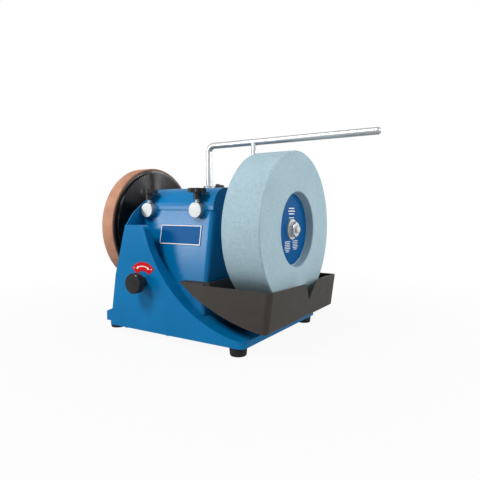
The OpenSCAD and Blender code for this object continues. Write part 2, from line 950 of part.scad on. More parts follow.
// A steel ring on the wheel's inner side, whose edge the roller presses on
ring_edge = 0.6;
module drive_ring() {
  color(dark_steel) at_spindle() rotate([0, 90, 0]) rotate_extrude($fn = 128) polygon([
    [wheel_hub_r, honing_in],
    [drive_ring_r, honing_in],
    [drive_ring_r, hub_in - ring_edge],
    [drive_ring_r - ring_edge, hub_in],
    [wheel_hub_r, hub_in]
  ]);
}

// ---------- motor ----------

module at_motor() {
  at_spindle() translate([motor_x, motor_y, motor_z]) children();
}

can_t = 2;
can_vent_l = 8;
can_vent_w = 10;
can_vent_inset = 6;
module motor_can() {
  vent_end = motor_l / 2 - cap_t - can_vent_inset;
  color(steel) at_motor() difference() {
    rod_x(-motor_l / 2 + cap_t, motor_l / 2 - cap_t, motor_d / 2);
    rod_x(-motor_l, motor_l, motor_d / 2 - can_t);
    for (a = [20 : 40 : 340]) rotate([a, 0, 0])
      block([vent_end - can_vent_l, motor_d / 2 - 2 * can_t, -can_vent_w / 2],
            [vent_end, motor_d / 2 + 1, can_vent_w / 2]);
  }
}

bearing_r = 13;
bearing_w = 8;
race_w = 2.5;
race_step = 1;
bearing_out = motor_l / 2 - 2;
bearing_in = bearing_out - bearing_w;
housing_t = 3;
spigot_l = 4;
spigot_w = 3;
cap_hole_r = 6;
cap_hole_inset = 15;
module motor_end_caps() {
  inner = motor_l / 2 - cap_t;
  color(dark_steel) at_motor() for (side = [-1, 1]) scale([side, 1, 1]) difference() {
    union() {
      rod_x(inner, motor_l / 2, motor_d / 2);
      rod_x(inner - spigot_l, inner, motor_d / 2 - can_t - hole);
      rod_x(bearing_in - 1, motor_l / 2, bearing_r + housing_t);
    }
    rod_x(inner - spigot_l - 1, inner, motor_d / 2 - can_t - spigot_w);
    rod_x(bearing_in - 2, bearing_out, bearing_r + hole);
    rod_x(0, motor_l, rotor_d / 2 + 1.5);
    for (a = [0 : 60 : 300]) rotate([a, 0, 0]) translate([0, motor_d / 2 - cap_hole_inset, 0])
      rod_x(inner - 1, motor_l / 2 + 1, cap_hole_r);
  }
}

module motor_bearings() {
  color(steel) at_motor() for (side = [-1, 1]) scale([side, 1, 1]) difference() {
    rod_x(bearing_in, bearing_out, bearing_r);
    rod_x(0, motor_l, rotor_d / 2 + run);
    for (x = [bearing_in - 1, bearing_out - race_step]) translate([x, 0, 0]) difference() {
      rod_x(0, race_step + 1, bearing_r - race_w);
      rod_x(-1, race_step + 2, rotor_d / 2 + race_w);
    }
  }
}

core_l = 32;
core_x = -6;
rotor_r = 24;
air_gap = 0.6;
winding_l = 4;
winding_r = rotor_r + 13;
slots = 18;
slot_w = 2;
slot_h = 6;
module motor_stator() {
  half = core_l / 2 + winding_l;
  color(copper) at_motor() difference() {
    rod_x(core_x - half, core_x + half, motor_d / 2 - can_t - hole);
    rod_x(-motor_l, motor_l, rotor_r + air_gap);
    for (i = [0 : slots - 1]) rotate([i * 360 / slots, 0, 0])
      block([-motor_l, rotor_r, -slot_w / 2], [motor_l, rotor_r + slot_h, slot_w / 2]);
    // the windings stand out of the core at both ends
    for (end = [-1, 1]) translate([core_x + end * half, 0, 0]) difference() {
      rod_x(-winding_l, winding_l, motor_d / 2);
      rod_x(-winding_l - 1, winding_l + 1, winding_r);
    }
  }
}

module rotor_core() {
  color(dark_steel) at_motor() difference() {
    rod_x(core_x - core_l / 2, core_x + core_l / 2, rotor_r);
    rod_x(-motor_l, motor_l, rotor_d / 2);
  }
}

module rotor_shaft() {
  color(steel) at_motor() rod_x(roller_x - motor_x, bearing_out, rotor_d / 2);
}

blades = 9;
blade_t = 2;
fan_r = 33;
fan_left = 16;
fan_right = 24;
fan_disc_t = 1;
fan_hub_r = 9;
module cooling_fan() {
  color(black) at_motor() difference() {
    union() {
      rod_x(fan_left + fan_disc_t, fan_right, fan_hub_r);
      for (i = [0 : blades - 1]) rotate([i * 360 / blades, 0, 0])
        block([fan_left + fan_disc_t / 2, fan_hub_r - 2, -blade_t / 2], [fan_right, fan_r - 2, blade_t / 2]);
      rod_x(fan_left, fan_left + fan_disc_t, fan_r);
    }
    rod_x(0, motor_l, rotor_d / 2);
  }
}

module drive_roller() {
  color(black) at_motor() difference() {
    rod_x(roller_x - motor_x, roller_x + roller_l - motor_x, roller_r);
    rod_x(roller_x - motor_x - 1, 0, rotor_d / 2);
  }
}

cradle_w = 70;
cradle_t = 6;
cradle_foot_t = 4;
cradle_inset = 2;
cradle_h = 16;
cradle_xs = [-motor_l / 2 + cap_t + 8, motor_l / 2 - cap_t - 26];
motor_screw_inset = 7;
motor_screw_xs = [-motor_l / 2 + motor_screw_inset, motor_l / 2 - motor_screw_inset];
motor_screw_ys = [-cradle_w / 2 + motor_screw_inset, cradle_w / 2 - motor_screw_inset];
cradle_foot = plate_top - motor_z;
cradle_seat = cradle_foot + cradle_foot_t;
motor_screw_r = 2;
motor_head_r = 3.8;
motor_head_t = 3;
module motor_cradle() {
  color(steel) at_motor() difference() {
    union() {
      for (x = cradle_xs) block([x, -cradle_w / 2, cradle_foot],
                                [x + cradle_t, cradle_w / 2, -motor_d / 2 + cradle_h]);
      block([-motor_l / 2 + cradle_inset, -cradle_w / 2, cradle_foot],
            [motor_l / 2 - cradle_inset, cradle_w / 2, cradle_seat]);
    }
    rod_x(-motor_l, motor_l, motor_d / 2 + hole);
    for (x = motor_screw_xs, y = motor_screw_ys) translate([x, y, 0])
      rod_z(cradle_foot - 1, cradle_seat + 1, motor_screw_r + hole);
  }
}

module motor_screws() {
  color(steel) at_motor() for (x = motor_screw_xs, y = motor_screw_ys) translate([x, y, 0]) {
    rod_z(cradle_foot, cradle_seat, motor_screw_r);
    difference() {
      rod_z(cradle_seat, cradle_seat + motor_head_t, motor_head_r);
      block([-motor_head_r, -screw_slot_w / 2, cradle_seat + motor_head_t / 2],
            [motor_head_r, screw_slot_w / 2, cradle_seat + motor_head_t + 1]);
    }
  }
}

// ---------- electrics ----------

capacitor_r = 17.5;
capacitor_x = head_left + 22;
capacitor_l = 62;
capacitor_cap_l = 5;
capacitor_y = -42;
saddle_inset = 14;
saddle_half_w = 21;
saddle_floor = 4;
capacitor_z = plate_top + saddle_floor + capacitor_r;
module capacitor() {
  end_x = capacitor_x + capacitor_l;
  color([0.8, 0.8, 0.78]) at_spindle() translate([0, capacitor_y, capacitor_z]) {
    rod_x(capacitor_x, end_x, capacitor_r);
    rod_x(end_x, end_x + capacitor_cap_l, capacitor_r - capacitor_cap_l);
  }
}

module capacitor_saddle() {
  end_x = capacitor_x + capacitor_l;
  color(black) at_spindle() difference() {
    block([capacitor_x + saddle_inset, capacitor_y - saddle_half_w, plate_top],
          [end_x - saddle_inset, capacitor_y + saddle_half_w, capacitor_z - saddle_floor]);
    translate([0, capacitor_y, capacitor_z]) rod_x(capacitor_x - 1, end_x + 1, capacitor_r + hole);
  }
}

pot_r = 10;
pot_l = 12;
pot_neck_r = 4;
control_shaft_r = 3;
pot_floor = 2;
board_t = 1.6;
board_y = front_y + wall + pot_l;
module potentiometer() {
  color(steel) at_spindle() translate([speed_x, 0, speed_z]) difference() {
    union() {
      rod_y(front_y + wall, board_y, pot_r);
      rod_y(front_y, front_y + wall, pot_neck_r);
    }
    rod_y(front_y - 1, board_y - pot_floor, control_shaft_r + run);
  }
}

board_h = 60;
board_left = 26;
board_right = 28;
module control_board() {
  color(green) at_spindle() block([speed_x - board_left, board_y, speed_z - board_h],
                                  [speed_x + board_right, board_y + board_t, speed_z + pot_r]);
}

relay = [18, 11, 18];
relay_at = [-22, 0, -32];
sink = [46, 10, 20];
sink_at = [-22, 0, -56];
sink_floor = 1.5;
sink_fins = 9;
sink_fin_t = 2;
can_z = -22;
cans = [[8, 12, 6], [20, 10, 4]];
module board_parts() {
  sink_pitch = (sink[0] - sink_fin_t) / (sink_fins - 1);
  color(black) at_spindle() translate([speed_x, board_y + board_t, speed_z]) {
    translate(relay_at) cube(relay);
    // each can is its place across the board, its height and its radius
    for (c = cans) translate([c[0], 0, can_z]) rod_y(0, c[1], c[2]);
    translate(sink_at) {
      cube([sink[0], sink_floor, sink[2]]);
      for (i = [0 : sink_fins - 1]) translate([i * sink_pitch, 0, 0]) cube([sink_fin_t, sink[1], sink[2]]);
    }
  }
}

knob_bite = 6;
module control_shaft() {
  color(steel) at_spindle() translate([speed_x, 0, speed_z])
    rod_y(speed_front + knob_bite, board_y - pot_floor - gap, control_shaft_r);
}

knob_gap = 0.8;
knob_neck_r = 8.7;
knob_edge = 1.2;
knob_grooves = 18;
knob_groove_r = 1.3;
knob_groove_out = 0.5;
module speed_knob() {
  cap_l = speed_l / 2;
  color(black) at_spindle() translate([speed_x, 0, speed_z]) difference() {
    union() {
      translate([0, speed_front + cap_l, 0]) rotate([90, 0, 0]) rotate_extrude() polygon([
        [0, 0],
        [speed_d / 2, 0],
        [speed_d / 2, cap_l - knob_edge],
        [speed_d / 2 - knob_edge, cap_l],
        [0, cap_l]
      ]);
      rod_y(speed_front + cap_l, front_y - knob_gap, knob_neck_r);
    }
    rod_y(speed_front + knob_bite, 0, control_shaft_r);
    for (i = [0 : knob_grooves - 1]) rotate([0, (i + 0.5) * 360 / knob_grooves, 0])
      translate([speed_d / 2 + knob_groove_out, 0, 0])
      rod_y(speed_front - 1, speed_front + cap_l + 1, knob_groove_r);
  }
}

gland_inset = 30;
gland_x = head_left + gland_inset;
gland_z = -118;
gland_r = 8;
gland_bore_r = 3.8;
gland_thread_l = 6;
gland_nut_t = 4;
gland_nut_r = 11;
gland_hex_t = 6;
gland_hex_r = 12;
gland_cap_r = 9.5;
gland_cap_l = 12;
gland_nose_r = 7;
gland_nose_l = 5;
module cable_gland() {
  inside = head_back - wall;
  color(black) at_spindle() translate([gland_x, 0, gland_z]) difference() {
    union() {
      rod_y(inside - gland_thread_l, head_back, gland_r);
      translate([0, inside - gland_nut_t, 0]) rotate([-90, 0, 0])
        cylinder(h = gland_nut_t, r = gland_nut_r, $fn = 6);
      translate([0, head_back, 0]) rotate([-90, 0, 0]) cylinder(h = gland_hex_t, r = gland_hex_r, $fn = 6);
      translate([0, head_back + gland_hex_t, 0]) rotate([-90, 0, 0]) rotate_extrude() polygon([
        [0, 0],
        [gland_cap_r, 0],
        [gland_cap_r, gland_cap_l - gland_nose_l],
        [gland_nose_r, gland_cap_l],
        [0, gland_cap_l]
      ]);
    }
    rod_y(0, head_back + gland_hex_t + gland_cap_l + 1, gland_bore_r);
  }
}

// ---------- water trough ----------

// The right wall leans outwards as it rises
function trough_right(z) = trough_out + (z + rim_drop) * trough_flare;

// Front view of the whole trough, before its front part is cut to the arc
module trough_outline(left, inset = 0) {
  polygon(rounded([
    [left + inset, 0, 0],
    [left + inset, -trough_drop + inset, trough_left_r],
    [trough_right(-trough_drop) - inset, -trough_drop + inset, trough_right_r],
    [trough_right(inset) - inset, 0, 0]
  ]));
}

// Rounds an upright edge of the right wall; end is 0 at the front and 1 at the back
module trough_corner_cut(end, inset) {
  r = trough_corner_r - inset;
  y = end == 0 ? trough_front + inset : trough_back - inset;
  translate([trough_out - inset, y, -rim_drop]) rotate([0, atan(trough_flare), 0]) rotate([0, 0, 90 * end])
    difference() {
      translate([-r, -1, -trough_drop]) cube([r + 1, r + 1, 2 * trough_drop]);
      translate([-r, r, -trough_drop - 1]) cylinder(h = 2 * trough_drop + 2, r = r + proud);
    }
}

// The deep end behind, and the shallow front part that follows the panel's sweep
module trough_solid(inset = 0) {
  reach = trough_right(0);
  difference() {
    union() {
      intersection() {
        along_y(trough_front + inset, deep_front + inset) intersection() {
          trough_outline(arm_left, inset);
          translate([arc_x, arc_z]) circle(r = arc_r - inset, $fn = 180);
        }
        union() {
          block([trough_left + inset, trough_front, -trough_drop], [reach, 0, 0]);
          block([arm_left, trough_front, -trough_drop], [reach, arm_back - inset, 0]);
        }
      }
      along_y(deep_front + inset, trough_back - inset) trough_outline(trough_left, inset);
    }
    trough_corner_cut(0, inset);
    trough_corner_cut(1, inset);
  }
}

module water_trough() {
  left_wall_x = trough_left + trough_wall;
  color(warm_grey) at_spindle() difference() {
    trough_solid();
    trough_solid(trough_wall);
    // the rim drops a little towards the back, with a pouring notch in the right wall
    along_x(left_wall_x, trough_right(0)) polygon([
      [trough_front - 1, -rim_drop],
      [notch_y - notch_front, back_rim],
      [notch_y - notch_tip, notch_floor],
      [notch_y + notch_tip, notch_floor],
      [notch_y + notch_back, back_rim],
      [step_y, back_rim + step_h],
      [trough_back + 1, back_rim],
      [trough_back + 1, 1],
      [trough_front - 1, 1]
    ]);
    // along the arm and the left wall the rim stands a little higher
    along_x(arm_left - 1, left_wall_x) polygon([
      [trough_front - 1, arm_rim],
      [deep_front, arm_rim],
      [step_y, back_rim + step_h],
      [trough_back + 1, back_rim],
      [trough_back + 1, 1],
      [trough_front - 1, 1]
    ]);
  }
}

casing();
bottom_plate();
bottom_screws();
feet();
front_plate();
dial_label();
front_sleeves();
sleeve_plugs();
rear_sleeves();
front_left_knob();
front_left_screw();
front_right_knob();
front_right_screw();
rear_left_knob();
rear_left_screw();
rear_right_knob();
rear_right_screw();
support_bar();
spindle_shaft();
spindle_bushes();
stone_flange();
spindle_spacer();
stone();
stone_label();
spindle_washers();
spindle_nuts();
honing_wheel();
leather_band();
drive_ring();
motor_can();
motor_end_caps();
motor_stator();
motor_bearings();
motor_cradle();
motor_screws();
rotor_core();
rotor_shaft();
cooling_fan();
drive_roller();
capacitor();
capacitor_saddle();
control_board();
board_parts();
potentiometer();
control_shaft();
speed_knob();
cable_gland();
water_trough();
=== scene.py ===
"""Looks of a wet grinding sharpener: its finishes, printed details, light and camera.

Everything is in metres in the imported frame: +X along the spindle towards the stone, +Y to the
back and +Z up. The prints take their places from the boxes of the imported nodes.
"""
import json
import math

import bpy
from mathutils import Matrix, Vector


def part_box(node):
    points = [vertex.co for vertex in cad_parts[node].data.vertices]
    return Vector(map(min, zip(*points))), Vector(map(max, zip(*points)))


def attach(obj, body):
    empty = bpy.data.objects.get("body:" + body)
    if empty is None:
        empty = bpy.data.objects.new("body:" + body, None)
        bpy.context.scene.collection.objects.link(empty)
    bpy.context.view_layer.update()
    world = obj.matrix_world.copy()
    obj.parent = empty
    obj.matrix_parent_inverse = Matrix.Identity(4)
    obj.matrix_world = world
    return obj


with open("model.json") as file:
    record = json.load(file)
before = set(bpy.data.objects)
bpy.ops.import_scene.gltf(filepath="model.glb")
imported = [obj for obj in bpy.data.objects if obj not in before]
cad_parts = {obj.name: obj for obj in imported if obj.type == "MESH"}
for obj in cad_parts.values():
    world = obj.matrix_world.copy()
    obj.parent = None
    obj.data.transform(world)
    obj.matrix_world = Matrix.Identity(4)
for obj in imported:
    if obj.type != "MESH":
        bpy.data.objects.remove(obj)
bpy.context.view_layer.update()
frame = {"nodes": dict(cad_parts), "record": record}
nodes = frame["nodes"]

MM = 0.001


# ---------- camera, fitted to the photograph ----------

CAMERA_PLACE = Vector((0.42385, -0.6423, 0.2142))
CAMERA_AZIMUTH = math.radians(32.43)
CAMERA_ELEVATION = math.radians(4.04)
CAMERA_LENS = 33.465
CAMERA_SENSOR = 36
CAMERA_NEAR = 10 * MM


def add_camera():
    back = Vector((
        math.sin(CAMERA_AZIMUTH) * math.cos(CAMERA_ELEVATION),
        -math.cos(CAMERA_AZIMUTH) * math.cos(CAMERA_ELEVATION),
        math.sin(CAMERA_ELEVATION),
    ))
    data = bpy.data.cameras.new("camera")
    data.sensor_width = CAMERA_SENSOR
    data.lens = CAMERA_LENS
    data.clip_start = CAMERA_NEAR
    camera = bpy.data.objects.new("camera", data)
    bpy.context.scene.collection.objects.link(camera)
    camera.location = CAMERA_PLACE
    camera.rotation_euler = back.to_track_quat("Z", "Y").to_euler()
    bpy.context.scene.camera = camera


# ---------- node helpers ----------

# most of a noise lies between these two values
NOISE_LOW, NOISE_HIGH = 0.3, 0.7


def srgb(r, g, b):
    """A linear colour from 0 to 255 display values."""
    return tuple(
        (c / 12.92 if c <= 0.04045 else ((c + 0.055) / 1.055) ** 2.4)
        for c in (r / 255, g / 255, b / 255)
    ) + (1.0,)


def shade(colour, factor):
    return tuple(c * factor for c in colour[:3]) + (1.0,)


class Net:
    """Short calls that add nodes to one node tree."""

    def __init__(self, tree):
        self.tree = tree

    def set(self, node, inputs):
        """Gives a node's sockets, by name or number, a value or a link."""
        for key, value in inputs.items():
            socket = node.inputs[key]
            if isinstance(value, bpy.types.NodeSocket):
                self.tree.links.new(value, socket)
            else:
                socket.default_value = value

    def add(self, kind, inputs=None, **settings):
        node = self.tree.nodes.new("ShaderNode" + kind)
        for name, value in settings.items():
            setattr(node, name, value)
        self.set(node, inputs or {})
        return node

    def span(self, value, low, high, from_low=0.0, from_high=1.0):
        """Maps a value that runs between two ends to run from low to high."""
        node = self.add("MapRange", {
            "Value": value, "From Min": from_low, "From Max": from_high, "To Min": low, "To Max": high,
        })
        return node.outputs["Result"]

    def math(self, operation, a, b=0.0):
        return self.add("Math", {0: a, 1: b}, operation=operation).outputs["Value"]


class Finish(Net):
    """A material with a Principled shader, and calls for the patterns that feed it."""

    def __init__(self, name, colour, rough, metal=0.0, **sockets):
        self.material = bpy.data.materials.new(name)
        self.material.use_nodes = True
        super().__init__(self.material.node_tree)
        self.shader = self.tree.nodes["Principled BSDF"]
        self.place = self.add("TexCoord").outputs["Object"]
        self.set(self.shader, {
            "Base Color": colour, "Roughness": rough, "Metallic": metal, **sockets,
        })

    def surface(self, colour, rough):
        """Feeds the shader's colour and roughness from patterns."""
        self.set(self.shader, {"Base Color": colour, "Roughness": rough})

    def bump(self, height, distance, strength=1.0):
        node = self.add("Bump", {"Height": height, "Distance": distance, "Strength": strength})
        self.set(self.shader, {"Normal": node.outputs["Normal"]})

    def stretch(self, scale):
        """The object's coordinates, stretched."""
        return self.add("Mapping", {"Vector": self.place, "Scale": scale}).outputs["Vector"]

    def axes(self):
        """The object's coordinates one by one."""
        return self.add("SeparateXYZ", {"Vector": self.place}).outputs

    def noise(self, scale, detail=3.0, rough=0.5, at=None):
        node = self.add("TexNoise", {
            "Vector": at or self.place, "Scale": scale, "Detail": detail, "Roughness": rough,
        })
        return node.outputs["Fac"]

    def cells(self, scale, feature="F1"):
        node = self.add("TexVoronoi", {"Vector": self.place, "Scale": scale}, feature=feature)
        return node.outputs["Distance"]

    def vary(self, noise, low=0.0, high=1.0):
        """Spreads a noise from low to high."""
        return self.span(noise, low, high, NOISE_LOW, NOISE_HIGH)

    def mask(self, pattern, start, full, most=1.0):
        """A factor that is 0 until the pattern passes start and rises to most at full."""
        return self.span(pattern, 0.0, most, start, full)

    def blend(self, factor, a, b):
        node = self.add("Mix", {0: factor, 6: a, 7: b}, data_type="RGBA")
        return node.outputs[2]


# ---------- finishes ----------

PAINT_SHEEN = 0.24
PLASTIC_SHEEN = 0.45
FILM_SHEEN = 0.07
# the bump of finely finished metal
FINE_MARKS = 0.006 * MM
# the wave of a turned face in radians for each metre of its radius: one ring every 1.2 mm
RING_WAVE = 5200.0


def painted(name, colour, rough):
    """Satin powder coat: soft mottling, a fine orange peel and a few rubbed places."""
    look = Finish(name, colour, rough, **{"Specular IOR Level": PAINT_SHEEN})
    broad = look.noise(9.0, detail=2.0)
    peel = look.noise(620.0, detail=2.0, rough=0.45)
    rubbed = look.mask(look.noise(38.0, detail=5.0, rough=0.62), 0.60, 0.78)
    tone = look.blend(look.vary(broad), shade(colour, 0.93), shade(colour, 1.07))
    tone = look.blend(look.math("MULTIPLY", rubbed, 0.35), tone, shade(colour, 1.14))
    uneven = look.math("ADD", look.math("MULTIPLY", peel, 0.5), broad)
    look.surface(tone, look.span(uneven, rough - 0.05, rough + 0.06, 0.4, 1.1))
    look.bump(peel, 0.16 * MM, 0.30)
    return look.material


def moulded(name, colour, rough, grain=900.0, depth=0.10 * MM, mottle=0.08):
    """Moulded plastic or rubber with a fine spark-eroded grain."""
    look = Finish(name, colour, rough, **{"Specular IOR Level": PLASTIC_SHEEN})
    broad = look.noise(14.0)
    coarse = look.cells(grain)
    fine = look.noise(grain * 1.7, detail=2.0)
    wiped = look.noise(46.0, detail=4.0, rough=0.6, at=look.stretch((1.0, 1.0, 2.4)))
    tone = look.blend(look.vary(broad), shade(colour, 1.0 - mottle), shade(colour, 1.0 + 1.6 * mottle))
    look.surface(tone, look.vary(wiped, rough - 0.07, rough + 0.09))
    look.bump(look.math("ADD", coarse, look.math("MULTIPLY", fine, 0.5)), depth, 0.45)
    return look.material


def metal(name, colour, rough, along=(900.0, 900.0, 900.0), depth=0.02 * MM, tarnish=0.10, bare=1.0):
    """Bare or plated metal; along is the stretch of the fine machining marks."""
    look = Finish(name, colour, rough, bare)
    broad = look.noise(24.0, detail=4.0, rough=0.55)
    marks = look.noise(1.0, detail=2.0, at=look.stretch(along))
    tone = look.blend(look.mask(broad, 0.35, 0.72), colour, shade(colour, 1.0 - tarnish))
    wear = look.math("ADD", look.math("MULTIPLY", marks, 0.6), look.math("MULTIPLY", broad, 0.4))
    look.surface(tone, look.vary(wear, rough - 0.07, rough + 0.10))
    look.bump(marks, depth, 0.5)
    return look.material


def ground_stone():
    """Fine aluminium oxide bound into a wheel: tiny light and dark grains on pale blue-grey."""
    colour = srgb(163, 190, 201)
    look = Finish("grinding_stone", colour, 0.88)
    cloud = look.noise(16.0, detail=5.0, rough=0.6)
    patch = look.noise(210.0, detail=6.0, rough=0.78)
    grain = look.noise(1900.0, rough=0.7)
    coarse = look.noise(640.0, rough=0.6)
    # full at the cells' centres and gone a little way out
    pits = look.span(look.cells(520.0), 1.0, 0.0, 0.05, 0.22)
    tone = look.blend(look.vary(cloud), shade(colour, 0.92), shade(colour, 1.05))
    tone = look.blend(look.mask(patch, 0.42, 0.72, 0.55), tone, srgb(124, 153, 166))
    tone = look.blend(look.mask(coarse, 0.45, 0.75, 0.45), tone, srgb(200, 216, 221))
    tone = look.blend(look.mask(grain, 0.52, 0.75, 0.42), tone, srgb(108, 137, 150))
    tone = look.blend(look.math("MULTIPLY", pits, 0.22), tone, srgb(110, 130, 140))
    look.surface(tone, look.vary(grain, 0.82, 0.96))
    look.bump(look.math("SUBTRACT", look.math("ADD", grain, coarse), pits), 0.22 * MM, 0.55)
    return look.material


def honing_leather():
    """Vegetable-tanned strap leather: soft streaks round the wheel, pores and darker edges."""
    look = Finish("honing_leather", srgb(186, 134, 106), 0.62)
    low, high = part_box("leather_band")
    middle = (low.x + high.x) / 2
    half = (high.x - low.x) / 2
    from_middle = look.math("ABSOLUTE", look.math("SUBTRACT", look.axes()["X"], middle))
    edge = look.mask(from_middle, half * 0.80, half)
    cloud = look.noise(34.0, detail=5.0, rough=0.62)
    fibre = look.noise(260.0, detail=4.0, rough=0.6, at=look.stretch((3.4, 0.7, 0.7)))
    pores = look.cells(1300.0)
    tone = look.blend(look.mask(cloud, 0.32, 0.68), srgb(164, 112, 86), srgb(197, 146, 118))
    tone = look.blend(look.mask(fibre, 0.45, 0.75, 0.35), tone, srgb(148, 98, 74))
    tone = look.blend(look.math("MULTIPLY", edge, 0.55), tone, srgb(120, 74, 52))
    look.surface(tone, look.vary(cloud, 0.54, 0.72))
    look.bump(look.math("ADD", look.math("MULTIPLY", pores, 0.6), fibre), 0.18 * MM, 0.5)
    return look.material


def turned_steel():
    """Blackened steel turned on a lathe: its fine rings spread each highlight along the radius."""
    colour = srgb(54, 53, 54)
    look = Finish("drive_steel", colour, 0.30, 1.0, **{"Anisotropic": 0.95, "Anisotropic Rotation": 0.25})
    around = look.add("Tangent", direction_type="RADIAL", axis="X")
    look.set(look.shader, {"Tangent": around.outputs["Tangent"]})
    broad = look.noise(18.0, detail=4.0, rough=0.55)
    low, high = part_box("drive_ring")
    middle = (low + high) / 2
    axes = look.axes()
    up = look.math("SUBTRACT", axes["Z"], middle.z)
    back = look.math("SUBTRACT", axes["Y"], middle.y)
    squares = look.math("ADD", look.math("MULTIPLY", up, up), look.math("MULTIPLY", back, back))
    radius = look.math("SQRT", squares)
    rings = look.math("SINE", look.math("MULTIPLY", radius, RING_WAVE))
    tone = look.blend(look.mask(broad, 0.35, 0.7), colour, shade(colour, 0.82))
    look.surface(tone, look.vary(broad, 0.25, 0.34))
    look.bump(rings, FINE_MARKS, 0.3)
    return look.material


def printed(name, colour, rough=0.38):
    """Printed film: even ink with a faint grain."""
    look = Finish(name, colour, rough, **{"Specular IOR Level": FILM_SHEEN})
    ink = look.noise(420.0)
    tone = look.blend(look.vary(ink), shade(colour, 0.94), shade(colour, 1.05))
    look.surface(tone, look.vary(ink, rough - 0.04, rough + 0.06))
    look.bump(ink, 0.03 * MM, 0.3)
    return look.material


def windings():
    """The stator's copper turns and iron, seen only with the housing off."""
    look = Finish("copper_iron", srgb(150, 84, 48), 0.45, 0.7)
    turns = look.noise(1.0, detail=2.0, at=look.stretch((1400.0, 90.0, 90.0)))
    tone = look.blend(look.mask(turns, 0.35, 0.65), srgb(112, 56, 30), srgb(190, 116, 70))
    look.surface(tone, look.vary(turns, 0.36, 0.58))
    look.bump(turns, 0.2 * MM, 0.6)
    return look.material


def circuit_board():
    """Green solder resist over raised tracks."""
    look = Finish("circuit_board", srgb(28, 92, 58), 0.4)
    # full on the cells' edges and gone a little way in
    tracks = look.span(look.cells(240.0, "DISTANCE_TO_EDGE"), 1.0, 0.0, 0.02, 0.06)
    tone = look.blend(tracks, srgb(22, 78, 48), srgb(58, 128, 84))
    look.surface(tone, look.vary(look.noise(300.0), 0.32, 0.5))
    look.bump(tracks, 0.04 * MM, 0.5)
    return look.material


looks = {
    "blue_housing": painted("blue_housing", srgb(0, 112, 169), 0.27),
    "zinc_sheet": metal("zinc_sheet", srgb(176, 178, 182), 0.42, (60.0, 900.0, 900.0)),
    "bright_steel": metal(
        "bright_steel", srgb(214, 216, 214), 0.40, (1500.0, 300.0, 300.0), FINE_MARKS,
        tarnish=0.06, bare=0.55),
    "black_rubber": moulded("black_rubber", srgb(20, 20, 21), 0.72, 700.0, 0.12 * MM),
    "blue_plate": printed("blue_plate", srgb(0, 84, 144)),
    "red_film": printed("red_film", srgb(206, 24, 26)),
    "satin_nickel": metal(
        "satin_nickel", srgb(196, 199, 199), 0.50, (700.0, 700.0, 700.0), tarnish=0.16),
    "chromed_bar": metal(
        "chromed_bar", srgb(208, 210, 211), 0.34, (40.0, 700.0, 700.0), FINE_MARKS,
        tarnish=0.05, bare=0.7),
    "bronze": metal("bronze", srgb(168, 128, 76), 0.45),
    "drive_steel": turned_steel(),
    "grey_steel": metal("grey_steel", srgb(112, 115, 120), 0.38, (1200.0, 160.0, 160.0)),
    "grinding_stone": ground_stone(),
    "blue_film": printed("blue_film", srgb(0, 80, 138)),
    "black_plastic": moulded("black_plastic", srgb(30, 30, 31), 0.28, 1100.0, 0.04 * MM),
    "honing_leather": honing_leather(),
    "grey_alloy": metal("grey_alloy", srgb(160, 162, 165), 0.46),
    "copper_iron": windings(),
    "circuit_board": circuit_board(),
    "trough_plastic": moulded("trough_plastic", srgb(55, 51, 47), 0.40, 800.0, 0.09 * MM, 0.06),
}
white_ink = printed("white_ink", srgb(236, 238, 238), 0.42)

slot_of = {part["node"]: part["material_slot"] for part in frame["record"]["subparts"]}
for name, node in nodes.items():
    node.data.materials.clear()
    node.data.materials.append(looks[slot_of[name]])


# ---------- printed details ----------

INK = 0.12 * MM


def slab(outline):
    """Corners and faces of an anticlockwise outline, raised by the ink's thickness."""
    count = len(outline)
    corners = [(x, y, z) for z in (0.0, INK) for x, y in outline]
    faces = [tuple(reversed(range(count))), tuple(range(count, 2 * count))]
    for i in range(count):
        j = (i + 1) % count
        faces.append((i, j, count + j, count + i))
    return corners, faces


def pierced_slab(outline, hole):
    """The same with a hole in it that has as many corners."""
    count = len(outline)
    corners = [(x, y, z) for z in (0.0, INK) for x, y in outline + hole]
    low_out, low_in, top_out, top_in = (count * loop for loop in range(4))
    faces = []
    for i in range(count):
        j = (i + 1) % count
        faces.append((low_out + j, low_out + i, low_in + i, low_in + j))
        faces.append((top_out + i, top_out + j, top_in + j, top_in + i))
        faces.append((low_out + i, low_out + j, top_out + j, top_out + i))
        faces.append((low_in + j, low_in + i, top_in + i, top_in + j))
    return corners, faces


def ink_piece(name, slabs, place, body):
    """One piece of white print from its slabs, which lie in its own X and Y."""
    corners, faces = [], []
    for slab_corners, slab_faces in slabs:
        base = len(corners)
        corners += slab_corners
        faces += [tuple(base + corner for corner in face) for face in slab_faces]
    mesh = bpy.data.meshes.new(name)
    mesh.from_pydata(corners, [], faces)
    mesh.transform(place)
    mesh.materials.append(white_ink)
    mesh.update()
    piece = bpy.data.objects.new(name, mesh)
    bpy.context.scene.collection.objects.link(piece)
    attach(piece, body)


def rectangle(x0, y0, x1, y1):
    return [(x0, y0), (x1, y0), (x1, y1), (x0, y1)]


def polar(radius, angle):
    """The point at an angle measured clockwise from straight up."""
    return (radius * math.sin(angle), radius * math.cos(angle))


def arc(radius, start, end, steps=14):
    return [polar(radius, start + (end - start) * i / steps) for i in range(steps + 1)]


# the pale border of the front plate, which leans back with the face that it lies on
FACE_LEAN = math.radians(9.63)
PLATE_WIDTH = 86 * MM
PLATE_HEIGHT = 33 * MM
PLATE_THICKNESS = 1.0 * MM
BORDER_INSET = 0.5 * MM
BORDER_WIDTH = 1.5 * MM


def plate_outline(inset):
    """The plate's outline, drawn in by an inset."""
    x = PLATE_WIDTH / 2 - inset
    y = PLATE_HEIGHT / 2 - inset
    return rectangle(-x, -y, x, y)


